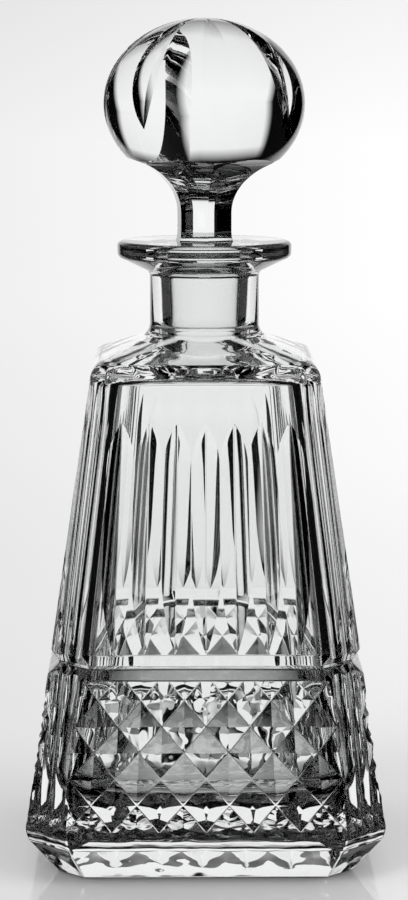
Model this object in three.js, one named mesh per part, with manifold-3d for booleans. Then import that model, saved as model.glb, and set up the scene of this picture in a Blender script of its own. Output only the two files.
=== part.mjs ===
// Cut-glass spirit decanter with its ground stopper. Millimetres, +Z up, front towards -Y,
// origin at the centre of the foot.

import * as THREE from 'three';
import { mergeVertices } from 'three/addons/utils/BufferGeometryUtils.js';
import Module from 'manifold-3d';

const wasm = await Module();
wasm.setup();

// Body, measured between flat faces: a tapered square whose corners are cut off at 45 degrees.
// A corner leg is what the cut takes off each of the two faces.
const footWidth = 91;
const footCornerLeg = 8;
const baseWidth = 112;
const baseCornerLeg = 13;
const baseBevelHeight = 13;
const baseRounding = 2.4;
const shoulderWidth = 69.8;
const shoulderCornerLeg = 4.7;
const shoulderHeight = 157;
const shoulderSlopeRise = 7.5;
const shoulderRounding = 2.4;
const cornerRounding = 1;

// Neck and lip, round about the vertical axis
const neckWaistDiameter = 34.4;
const neckRootSpread = 2.8;
const neckRootHeight = 5;
const neckLength = 20.4;
const lipDiameter = 54.8;
const lipThickness = 5.6;
const lipUndersideRise = 3.2;
const lipRounding = 2;

// Hollow inside. Its walls thin out from the base up to the shoulder.
const baseWall = 7;
const upperWall = 4.2;
const baseThickness = 24;
const floorRounding = 9;
const shoulderWall = 4.5;
const ceilingRounding = 2;
const mouthRounding = 3;
const hollowSquareness = 5;

// Ground seat of the stopper
const boreTopDiameter = 24.2;
const boreTaper = 0.112;
const seatGap = 0.3;
const pegLength = 28.6;
const pegRecess = 0.3;
const pegEdge = 0.6;

// Cuts in the body. The groove's depth is down to where its two sides would meet.
const grooveHeight = 66.1;
const grooveUpperReach = 4.4;
const grooveLowerReach = 3.1;
const grooveDepth = 3.3;
const mitreCutsPerFace = 7;
const mitreTopDrop = 16;
const mitrePointLength = 13;
const mitreRunOutLength = 25.5;
const mitreTopMargin = 1.9;
const mitreBottomMargin = 5.2;
const diamondBottomRise = 4.1;
const diamondHalfHeight = 7.95;
const diamondTopDrop = 3.3;
const diamondRunOutLength = 2.3;
const diamondsPerFace = 6;
const cutHalfAngle = THREE.MathUtils.degToRad(62);
const ridgeFlat = 0.3;
const fluteRadius = 4.6;
const fluteOffset = 3.4;
const fluteBottomDepth = 1.7;
const fluteMiddleDepth = 1.5;
const fluteTopDepth = 1.5;
const fluteTopDrop = 3.5;
const fluteBottomRise = 4.5;
const fluteRunOut = 5;

// Stopper
const knobDiameter = 63;
const knobHeight = 53;
const stemLength = 16.3;
const stemAcrossFlats = 15.9;
const stemFootAcrossFlats = 17.2;
const stemFootFlare = 3.6;
const stemWaistHeight = 9.2;
const stemFlareReach = 24;
const stemFlareRise = 18;
const stemFacets = 6;
const leafCuts = 8;
const leafDepth = 2;
const leafStartRadius = 1.6;
const leafTipDrop = 7.4;
const leafHalfAngle = THREE.MathUtils.degToRad(68);
const stopperTurn = THREE.MathUtils.degToRad(7);

// Cutters reach this far past what they cut, and rise this far out of it where a cut fades away
const overrun = 3;
const cutLift = 0.03;

// Shares that set the run of the curves between the sizes above
const hipSpreadShare = 0.35;
const edgeSofteningShare = 1.8;
const neckLegShare = 2 - Math.SQRT2;
const cornerInsetShare = 2 - Math.SQRT2;
const rootSinkShare = 0.75;
const waistShare = 0.5;
const undersideBreakShare = 0.4;
const topRoundingShare = 0.45;
const grooveOvershootShare = 0.1;
const grooveBottomShare = 0.75;
const diamondTipShare = 0.62;
const flutePeakShare = 0.88;
const fluteTipShare = 0.7;
const fluteTipReachShare = 0.33;
const stemJoinShare = 1.55;
const leafLeanShare = 1.36;
const leafFullnessShare = 2.2;
const diamondSpreadShare = 1.015;

// Finish
const crystalColour = 0xe8eeee;
const crystalRoughness = 0.03;
const crystalOpacity = 0.4;

// Fineness of round forms
const roundSegments = 40;
const arcSteps = 3;
const knobSteps = 12;
const flareSteps = 6;
const leafSteps = 9;
const hollowSegments = 32;
const cutterSides = 14;
const mergeDistance = 1e-4;

// Heights and half widths worked out from the sizes above
const baseHalf = baseWidth / 2;
const shoulderHalf = shoulderWidth / 2;
const neckRadius = neckWaistDiameter / 2;
const lipRadius = lipDiameter / 2;
const boreTopRadius = boreTopDiameter / 2;
const neckRootAt = shoulderHeight + shoulderSlopeRise;
const lipUndersideAt = neckRootAt + neckLength;
const lipTopAt = lipUndersideAt + lipUndersideRise + lipThickness;
const knobCentreAt = lipTopAt + stemLength + knobHeight / 2;
const knobRadius = knobDiameter / 2;
const faceSlope = (baseWidth - shoulderWidth) / 2 / (shoulderHeight - baseBevelHeight);
const grooveTopAt = grooveHeight + grooveUpperReach;

const mix = (from, to, share) => from + (to - from) * share;

// Half width of the flat faces, and the corner leg, at a height on the tapered sides
const sideShare = (height) => (height - baseBevelHeight) / (shoulderHeight - baseBevelHeight);
const sideHalf = (height) => mix(baseHalf, shoulderHalf, sideShare(height));
const sideLeg = (height) => mix(baseCornerLeg, shoulderCornerLeg, sideShare(height));
const faceWidth = (height) => 2 * (sideHalf(height) - sideLeg(height));

// A closed triangle mesh becomes a solid, and back again
function solidOf(geometry) {
  const bare = geometry.index ? geometry.clone() : geometry;
  bare.deleteAttribute('normal');
  bare.deleteAttribute('uv');
  const merged = mergeVertices(bare, mergeDistance);
  const corners = merged.index.array;
  const triangles = [];
  for (let i = 0; i < corners.length; i += 3) {
    const [a, b, c] = corners.subarray(i, i + 3);
    if (a !== b && b !== c && c !== a) triangles.push(a, b, c);
  }
  const build = (triVerts) => new wasm.Manifold(new wasm.Mesh({
    numProp: 3,
    vertProperties: new Float32Array(merged.attributes.position.array),
    triVerts: new Uint32Array(triVerts),
  }));
  const solid = build(triangles);
  return solid.volume() > 0 ? solid : build(triangles.reverse());
}

function geometryOf(solid) {
  const mesh = solid.getMesh();
  const geometry = new THREE.BufferGeometry();
  geometry.setAttribute('position', new THREE.BufferAttribute(mesh.vertProperties, 3));
  geometry.setIndex(new THREE.BufferAttribute(mesh.triVerts, 1));
  geometry.computeVertexNormals();
  return geometry;
}

// Skins rings of points, all with the same count and turning the same way, into a closed solid
function loft(rings) {
  const count = rings[0].length;
  const points = rings.flat();
  const index = [];
  for (let r = 0; r < rings.length - 1; r += 1) {
    for (let i = 0; i < count; i += 1) {
      const a = r * count + i;
      const b = r * count + ((i + 1) % count);
      index.push(a, b, b + count, a, b + count, a + count);
    }
  }
  const capWith = (ring, offset, flip) => {
    const centre = new THREE.Vector3();
    ring.forEach((point) => centre.add(point));
    points.push(centre.divideScalar(count));
    for (let i = 0; i < count; i += 1) {
      const a = offset + i;
      const b = offset + ((i + 1) % count);
      index.push(...(flip ? [b, a, points.length - 1] : [a, b, points.length - 1]));
    }
  };
  capWith(rings[0], 0, true);
  capWith(rings[rings.length - 1], (rings.length - 1) * count, false);
  const geometry = new THREE.BufferGeometry();
  geometry.setAttribute('position', new THREE.Float32BufferAttribute(
    points.flatMap((point) => point.toArray()), 3));
  geometry.setIndex(index);
  return solidOf(geometry);
}

// A solid of revolution from a profile of (radius, height) that starts and ends on the axis
function turned(profile, segments) {
  const lathe = new THREE.LatheGeometry(profile, segments);
  lathe.rotateX(Math.PI / 2);
  return solidOf(lathe);
}

// Points along part of an ellipse in the (radius, height) plane, angles in degrees
function arc(centreR, centreZ, halfR, halfZ, fromDegrees, toDegrees, steps) {
  return Array.from({ length: steps + 1 }, (unused, i) => {
    const angle = THREE.MathUtils.degToRad(mix(fromDegrees, toDegrees, i / steps));
    return new THREE.Vector2(centreR + halfR * Math.cos(angle), centreZ + halfZ * Math.sin(angle));
  });
}

const unite = (solids) => solids.reduce((sum, solid) => sum.add(solid));

const turn = (solid, angle) => solid.rotate([0, 0, THREE.MathUtils.radToDeg(angle)]);

// Square ring with cut corners, each corner point softened by a short curve
function cutSquareRing(height, half, leg, rounding) {
  const corners = [];
  for (let quarter = 0; quarter < 4; quarter += 1) {
    for (const [x, y] of [[half, leg - half], [half, half - leg]]) {
      const angle = quarter * Math.PI / 2;
      corners.push(new THREE.Vector3(
        x * Math.cos(angle) - y * Math.sin(angle),
        x * Math.sin(angle) + y * Math.cos(angle),
        height));
    }
  }
  return corners.flatMap((corner, i) => {
    const before = corners[(i + corners.length - 1) % corners.length];
    const after = corners[(i + 1) % corners.length];
    const start = corner.clone().add(before.clone().sub(corner).setLength(rounding));
    const end = corner.clone().add(after.clone().sub(corner).setLength(rounding));
    return new THREE.QuadraticBezierCurve3(start, corner, end).getPoints(arcSteps - 1);
  });
}

// Ring of a soft square: squareness 2 is a circle, and higher numbers draw the corners out
function softSquareRing(height, half, squareness) {
  return Array.from({ length: hollowSegments }, (unused, i) => {
    const angle = i / hollowSegments * 2 * Math.PI;
    const reach = (value) => Math.sign(value) * Math.abs(value) ** (2 / squareness);
    return new THREE.Vector3(half * reach(Math.cos(angle)), half * reach(Math.sin(angle)), height);
  });
}

// Body from the foot to the neck root: bevelled base, tapered sides, rounded edge, hipped shoulder
function bodyBlock() {
  const slopeInset = shoulderHalf - neckRadius;
  const bevelSlope = (baseWidth - footWidth) / 2 / baseBevelHeight;
  const rings = [cutSquareRing(0, footWidth / 2, footCornerLeg, cornerRounding)];
  const swell = new THREE.QuadraticBezierCurve(
    new THREE.Vector2(baseHalf - baseRounding * bevelSlope, baseBevelHeight - baseRounding),
    new THREE.Vector2(baseHalf, baseBevelHeight),
    new THREE.Vector2(sideHalf(baseBevelHeight + baseRounding), baseBevelHeight + baseRounding));
  for (const point of swell.getPoints(arcSteps)) {
    const leg = mix(footCornerLeg, baseCornerLeg, Math.min(point.y / baseBevelHeight, 1));
    rings.push(cutSquareRing(point.y, point.x, Math.min(leg, sideLeg(point.y)), cornerRounding));
  }
  const edge = new THREE.QuadraticBezierCurve(
    new THREE.Vector2(sideHalf(shoulderHeight - shoulderRounding), shoulderHeight - shoulderRounding),
    new THREE.Vector2(shoulderHalf, shoulderHeight),
    new THREE.Vector2(
      shoulderHalf - shoulderRounding,
      shoulderHeight + shoulderRounding / slopeInset * shoulderSlopeRise));
  for (const point of edge.getPoints(arcSteps)) {
    const inset = shoulderHalf - point.x;
    rings.push(cutSquareRing(
      point.y, point.x, shoulderCornerLeg + Math.max(inset, 0) * hipSpreadShare,
      cornerRounding * edgeSofteningShare));
  }
  rings.push(cutSquareRing(
    neckRootAt, neckRadius, neckRadius * neckLegShare, cornerRounding * edgeSofteningShare));
  return loft(rings);
}

// Neck and lip as one turned form, filled down into the shoulder
function neckAndLip() {
  const rootBelow = shoulderHeight - shoulderRounding;
  const undersideInset = neckRadius + lipRounding / 2;
  const rimLowAt = lipTopAt - lipThickness;
  return turned([
    new THREE.Vector2(0, rootBelow),
    new THREE.Vector2(neckRadius, rootBelow),
    ...arc(neckRadius + neckRootSpread, neckRootAt + neckRootHeight - neckRootSpread * rootSinkShare,
      neckRootSpread, neckRootHeight, 270, 180, arcSteps),
    new THREE.Vector2(neckRadius, mix(neckRootAt + neckRootHeight, lipUndersideAt, waistShare)),
    ...arc(undersideInset + lipRounding / 2, lipUndersideAt - lipRounding / 2,
      lipRounding, lipRounding, 180, 110, arcSteps),
    new THREE.Vector2(mix(undersideInset, lipRadius, undersideBreakShare),
      mix(lipUndersideAt, rimLowAt, undersideBreakShare)),
    ...arc(lipRadius - lipRounding, rimLowAt + lipRounding, lipRounding, lipRounding, -70, 0, arcSteps),
    ...arc(lipRadius - lipRounding, lipTopAt - lipRounding * topRoundingShare,
      lipRounding, lipRounding * topRoundingShare, 0, 90, arcSteps),
    new THREE.Vector2(0, lipTopAt),
  ], roundSegments);
}

// Radius of the ground bore at a height
const boreRadius = (height) => boreTopRadius - (lipTopAt - height) * boreTaper / 2;

// Room inside: a soft square that follows the sides and closes in to the bore, and the bore itself
function hollow() {
  const innerHalf = (height) => sideHalf(height) - mix(baseWall, upperWall, sideShare(height));
  const floorTop = baseThickness + floorRounding;
  const ceiling = shoulderHeight - shoulderWall;
  const mouthAt = neckRootAt - shoulderWall;
  const floor = arc(0, floorTop, floorRounding, floorRounding, -80, 0, arcSteps).map((point) =>
    softSquareRing(point.y, innerHalf(floorTop) - floorRounding + point.x, hollowSquareness));
  const mouthRadius = boreRadius(mouthAt);
  const wallTop = new THREE.Vector2(innerHalf(ceiling), ceiling);
  const mouth = new THREE.Vector2(mouthRadius, mouthAt);
  const slope = mouth.clone().sub(wallTop);
  const edge = new THREE.QuadraticBezierCurve(
    new THREE.Vector2(innerHalf(ceiling - ceilingRounding), ceiling - ceilingRounding),
    wallTop,
    wallTop.clone().addScaledVector(slope, ceilingRounding / slope.length()));
  const turnUp = new THREE.QuadraticBezierCurve(
    mouth.clone().addScaledVector(slope, -mouthRounding / slope.length()),
    mouth,
    new THREE.Vector2(boreRadius(mouthAt + mouthRounding), mouthAt + mouthRounding));
  const closing = [...edge.getPoints(arcSteps), ...turnUp.getPoints(arcSteps)].map((point) => {
    const share = Math.min(Math.max((wallTop.x - point.x) / (wallTop.x - mouth.x), 0), 1);
    return softSquareRing(point.y, point.x, mix(hollowSquareness, 2, Math.sqrt(share)));
  });
  const bore = softSquareRing(lipTopAt, boreRadius(lipTopAt), 2);
  const above = softSquareRing(lipTopAt + overrun, boreRadius(lipTopAt + overrun), 2);
  return loft([...floor, ...closing, bore, above]);
}

// Wedge-shaped cut along a line of stations. Each station has a point on the surface, the way out
// of the glass, the way across the cut, and the depth of the valley there.
function wedgeCut(stations, halfAngle) {
  return loft(stations.map(({ point, out, across, depth }) => {
    const height = depth + overrun;
    const spread = height * Math.tan(halfAngle);
    const valley = point.clone().addScaledVector(out, -depth);
    const top = valley.clone().addScaledVector(out, height);
    return [valley, top.clone().addScaledVector(across, spread),
      top.clone().addScaledVector(across, -spread)];
  }));
}

// Round-bottomed cut along stations, as a wheel of the given radius leaves it
function roundCut(stations, radius) {
  return loft(stations.map(({ point, out, across, depth }) => {
    const centre = point.clone().addScaledVector(out, radius - depth);
    return Array.from({ length: cutterSides }, (unused, i) => {
      const angle = i / cutterSides * 2 * Math.PI;
      return centre.clone()
        .addScaledVector(out, radius * Math.cos(angle))
        .addScaledVector(across, radius * Math.sin(angle));
    });
  }));
}

// V-groove with a rounded bottom that runs all round the body, corners too
function grooveRound() {
  const outside = baseHalf + overrun;
  const wallPoint = (reach, share) => new THREE.Vector2(
    grooveDepth * share, grooveHeight + reach * (1 - share));
  const bottom = new THREE.QuadraticBezierCurve(
    wallPoint(-grooveLowerReach, grooveBottomShare),
    new THREE.Vector2(grooveDepth, grooveHeight),
    wallPoint(grooveUpperReach, grooveBottomShare));
  const profile = [
    wallPoint(-grooveLowerReach, -grooveOvershootShare),
    ...bottom.getPoints(arcSteps),
    wallPoint(grooveUpperReach, -grooveOvershootShare),
  ];
  const slab = loft([profile[0], profile[profile.length - 1]].map((point) =>
    cutSquareRing(point.y, outside, baseCornerLeg, cornerRounding)));
  const core = loft(profile.map(({ x: depth, y: height }) =>
    cutSquareRing(height, sideHalf(height) - depth,
      sideLeg(height) - depth * cornerInsetShare, cornerRounding)));
  return slab.subtract(core);
}

// Station on the front face at a place across and up
function faceStation(x, height, across, depth) {
  return {
    point: new THREE.Vector3(x, -sideHalf(height), height),
    out: new THREE.Vector3(0, -1, faceSlope).normalize(),
    across,
    depth,
  };
}

// Tall cuts side by side above the groove, pointed at the top and run out to points at the groove
function mitreCuts() {
  const mitreTopHeight = shoulderHeight - mitreTopDrop;
  const pitchAt = (height) => {
    const margin = mix(mitreBottomMargin, mitreTopMargin,
      (height - grooveHeight) / (mitreTopHeight - grooveHeight));
    return (faceWidth(height) - 2 * margin) / mitreCutsPerFace;
  };
  const levels = Array.from({ length: arcSteps + 1 }, (unused, i) =>
    mitreTopHeight - mitrePointLength * i / arcSteps);
  for (let i = 0; i <= arcSteps; i += 1) {
    levels.push(grooveTopAt + mitreRunOutLength * (1 - i / arcSteps));
  }
  const cuts = [];
  for (let i = 0; i < mitreCutsPerFace; i += 1) {
    const place = i - (mitreCutsPerFace - 1) / 2;
    cuts.push(wedgeCut(levels.map((height) => {
      const pitch = pitchAt(height);
      const full = (pitch - ridgeFlat) / 2 / Math.tan(cutHalfAngle);
      const toTop = 1 - Math.min((mitreTopHeight - height) / mitrePointLength, 1);
      const toGroove = 1 - Math.min((height - grooveTopAt) / mitreRunOutLength, 1);
      const depth = full * (1 - toTop ** 2) * (1 - toGroove ** 2) - cutLift;
      return faceStation(place * pitch, height, new THREE.Vector3(1, 0, 0), depth);
    }), cutHalfAngle));
  }
  return cuts;
}

// Crossing wedge cuts that leave a band of four-sided points below the groove
function diamondCuts() {
  const diamondBottomHeight = baseBevelHeight + diamondBottomRise;
  const rows = Math.round((grooveHeight - diamondBottomHeight) / diamondHalfHeight);
  const topRow = (grooveHeight - diamondTopDrop - diamondBottomHeight) / diamondHalfHeight;
  const tipRow = topRow - diamondRunOutLength / diamondHalfHeight;
  const lift = -cutLift / diamondHalfHeight;
  const reach = (diamondsPerFace + rows) / 2;
  const cuts = [];
  for (const lean of [-1, 1]) {
    for (let start = -Math.ceil(reach); start <= Math.ceil(reach); start += 1) {
      const crossing = (row) => {
        const height = diamondBottomHeight + row * diamondHalfHeight;
        const width = faceWidth(height) / diamondsPerFace * diamondSpreadShare;
        return { x: (start + lean * row / 2) * width, height, width };
      };
      const inside = (row) => {
        const { x, height } = crossing(row);
        return Math.abs(x) < sideHalf(height);
      };
      const full = Array.from({ length: rows - 1 }, (unused, i) => [i + 1, 1]);
      const steps = [[0, lift], [diamondTipShare / 2, diamondTipShare], ...full,
        [tipRow, diamondTipShare], [topRow, lift]];
      const used = steps.filter(([row]) => inside(row));
      if (used.length < 2) continue;
      cuts.push(wedgeCut(used.map(([row, share]) => {
        const { x, height, width } = crossing(row);
        const along = new THREE.Vector3(lean * width / 2, 0, diamondHalfHeight).normalize();
        const across = new THREE.Vector3(along.z, 0, -along.x);
        const pitch = width * diamondHalfHeight / Math.hypot(width / 2, diamondHalfHeight);
        const depth = (pitch - ridgeFlat) / 2 / Math.tan(cutHalfAngle);
        return faceStation(x, height, across, depth * share);
      }), cutHalfAngle));
    }
  }
  return cuts;
}

// Two long flutes, side by side, down each cut corner
function cornerFlutes() {
  const fluteBottomHeight = baseBevelHeight + fluteBottomRise;
  const fluteTopHeight = shoulderHeight - fluteTopDrop;
  const depths = [
    [fluteBottomHeight, -cutLift],
    [fluteBottomHeight + fluteRunOut * fluteTipReachShare, fluteBottomDepth * fluteTipShare],
    [fluteBottomHeight + fluteRunOut, fluteBottomDepth],
    [mix(fluteBottomHeight, grooveHeight, waistShare), fluteMiddleDepth],
    [grooveHeight, fluteMiddleDepth],
    [mix(grooveHeight, fluteTopHeight, flutePeakShare), fluteTopDepth],
    [fluteTopHeight, -cutLift],
  ];
  return [-1, 1].map((side) => roundCut(depths.map(([height, depth]) => {
    const diagonal = sideHalf(height) - sideLeg(height) / 2;
    const across = new THREE.Vector3(1, -1, 0).normalize();
    return {
      point: new THREE.Vector3(-diagonal, -diagonal, height)
        .addScaledVector(across, side * fluteOffset),
      out: new THREE.Vector3(-1, -1, 0).normalize(),
      across,
      depth,
    };
  }), fluteRadius));
}

function decanterBody() {
  const oneSide = unite([...mitreCuts(), ...diamondCuts(), ...cornerFlutes()]);
  let solid = bodyBlock().add(neckAndLip()).subtract(hollow()).subtract(grooveRound());
  for (let quarter = 0; quarter < 4; quarter += 1) {
    solid = solid.subtract(turn(oneSide, quarter * Math.PI / 2));
  }
  return solid;
}

// Ball, stem and peg as one turned form, before the facets are cut
function stopperBlank() {
  const pegTopAt = lipTopAt - pegRecess;
  const pegBottomAt = pegTopAt - pegLength;
  const pegRadius = (height) => boreRadius(height) - seatGap;
  const stemRadius = stemFootAcrossFlats / 2 / Math.cos(Math.PI / stemFacets);
  const startDegrees = -THREE.MathUtils.radToDeg(Math.acos(stemRadius * stemJoinShare / knobRadius));
  return turned([
    new THREE.Vector2(0, pegBottomAt),
    new THREE.Vector2(pegRadius(pegBottomAt) - pegEdge, pegBottomAt),
    new THREE.Vector2(pegRadius(pegBottomAt + pegEdge), pegBottomAt + pegEdge),
    new THREE.Vector2(pegRadius(pegTopAt - pegEdge), pegTopAt - pegEdge),
    new THREE.Vector2(pegRadius(pegTopAt) - pegEdge, pegTopAt),
    new THREE.Vector2(stemRadius, pegTopAt),
    new THREE.Vector2(stemRadius, pegTopAt + stemWaistHeight),
    ...arc(0, knobCentreAt, knobRadius, knobHeight / 2, startDegrees, 90, knobSteps),
  ], roundSegments);
}

// What is ground away from one side of the stem: flat across, and flared up into the knob
function stemFacetCutter() {
  const stemFootAt = lipTopAt - pegRecess;
  const waistAt = stemFootAt + stemWaistHeight;
  const waist = stemAcrossFlats / 2;
  const reach = knobRadius + overrun;
  const profile = [
    new THREE.Vector2(reach, stemFootAt),
    new THREE.Vector2(stemFootAcrossFlats / 2, stemFootAt),
    ...arc(stemFootAcrossFlats / 2, stemFootAt + stemFootFlare,
      stemFootAcrossFlats / 2 - waist, stemFootFlare, 270, 180, arcSteps).slice(1),
    ...arc(waist + stemFlareReach, waistAt, stemFlareReach, stemFlareRise, 180, 90, flareSteps),
    new THREE.Vector2(reach, waistAt + stemFlareRise),
  ];
  const slab = new THREE.ExtrudeGeometry(new THREE.Shape(profile), {
    depth: 2 * reach,
    bevelEnabled: false,
  });
  slab.translate(0, 0, -reach);
  slab.applyMatrix4(new THREE.Matrix4().makeBasis(
    new THREE.Vector3(0, -1, 0), new THREE.Vector3(0, 0, 1), new THREE.Vector3(-1, 0, 0)));
  return solidOf(slab);
}

// One leaf-shaped wedge cut that runs from the top of the knob to a point below its widest line
function leafCut() {
  const halfHeight = knobHeight / 2;
  const startAngle = Math.acos(leafStartRadius / knobRadius);
  const endAngle = -Math.asin(leafTipDrop / halfHeight);
  return wedgeCut(Array.from({ length: leafSteps + 1 }, (unused, i) => {
    const share = i / leafSteps;
    const angle = mix(startAngle, endAngle, share);
    const bulge = Math.abs(2 * share ** leafLeanShare - 1) ** leafFullnessShare;
    return {
      point: new THREE.Vector3(0, -knobRadius * Math.cos(angle),
        knobCentreAt + halfHeight * Math.sin(angle)),
      out: new THREE.Vector3(0, -Math.cos(angle) / knobRadius, Math.sin(angle) / halfHeight).normalize(),
      across: new THREE.Vector3(1, 0, 0),
      depth: leafDepth * (1 - bulge) - cutLift,
    };
  }), leafHalfAngle);
}

function stopperSolid() {
  let solid = stopperBlank();
  const facet = stemFacetCutter();
  for (let i = 0; i < stemFacets; i += 1) {
    solid = solid.subtract(turn(facet, (i + 0.5) * 2 * Math.PI / stemFacets));
  }
  const leaf = leafCut();
  for (let i = 0; i < leafCuts; i += 1) {
    solid = solid.subtract(turn(leaf, i * 2 * Math.PI / leafCuts));
  }
  return turn(solid, stopperTurn);
}

function crystal() {
  return new THREE.MeshStandardMaterial({
    color: crystalColour,
    roughness: crystalRoughness,
    metalness: 0,
    transparent: true,
    opacity: crystalOpacity,
    flatShading: true,
  });
}

function piece(name, solid) {
  const mesh = new THREE.Mesh(geometryOf(solid), crystal());
  mesh.name = name;
  return mesh;
}

const decanter = new THREE.Group();
decanter.name = 'decanter';
decanter.add(piece('decanter_body', decanterBody()));
decanter.add(piece('stopper', stopperSolid()));

export default decanter;
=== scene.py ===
"""Looks of a square cut-crystal spirit decanter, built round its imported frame."""

import logging
import math
from collections.abc import Callable, Iterable
from dataclasses import dataclass, field
from enum import Enum

import bmesh
import bpy
from mathutils import Matrix, Vector


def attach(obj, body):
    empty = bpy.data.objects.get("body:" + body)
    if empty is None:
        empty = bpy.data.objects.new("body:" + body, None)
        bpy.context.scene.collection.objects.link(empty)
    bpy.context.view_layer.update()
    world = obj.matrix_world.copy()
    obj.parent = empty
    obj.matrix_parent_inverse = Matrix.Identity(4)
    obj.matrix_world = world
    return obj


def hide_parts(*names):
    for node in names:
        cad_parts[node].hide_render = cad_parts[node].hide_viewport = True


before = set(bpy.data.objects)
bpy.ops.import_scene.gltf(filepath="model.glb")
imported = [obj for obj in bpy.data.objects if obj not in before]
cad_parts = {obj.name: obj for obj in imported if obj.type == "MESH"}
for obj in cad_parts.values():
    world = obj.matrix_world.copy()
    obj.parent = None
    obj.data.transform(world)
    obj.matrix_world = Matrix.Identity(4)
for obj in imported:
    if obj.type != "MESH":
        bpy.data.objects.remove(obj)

LOG = logging.getLogger("decanter")
MM = 0.001
NEAR = 0.01 * MM
SIDES = 4
CURVE_STEPS = 10
UP = Vector((0.0, 0.0, 1.0))
# Squareness of an outline that is a plain circle
ROUND = 2.0
# Size of the three-cornered form of radius 1 that every V cutter starts from
PRISM_HALF_WIDTH = math.sqrt(3.0) / 2.0
PRISM_HEIGHT = 1.5
# A cutter is lifted by a little more than its depth where its run ends, so that no hairline is left
RUN_OUT_LIFT = 1.004

Stops = tuple[tuple[float, float], ...]
Colour = tuple[float, float, float, float]


class Body(Enum):
    """Bodies of the frame that the pieces ride on."""

    DECANTER = "decanter"
    STOPPER = "stopper"


def mix(start: float, end: float, share: float) -> float:
    """Value part of the way from start to end."""
    return start + (end - start) * share


def sweep(start: float, end: float, steps: int = CURVE_STEPS) -> list[float]:
    """Angles in even steps between two that are given in degrees."""
    return [math.radians(mix(start, end, i / steps)) for i in range(steps + 1)]


def arc(centre: tuple[float, float], reach: float, rise: float,
        angles: list[float]) -> list[tuple[float, float]]:
    """Radius and height of places round a centre."""
    return [(centre[0] + reach * math.cos(angle), centre[1] + rise * math.sin(angle))
            for angle in angles]


def bearing(angle: float) -> Vector:
    """Level direction at an angle round the vertical axis, 0 towards the front."""
    return Vector((math.sin(angle), -math.cos(angle), 0.0))


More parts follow.
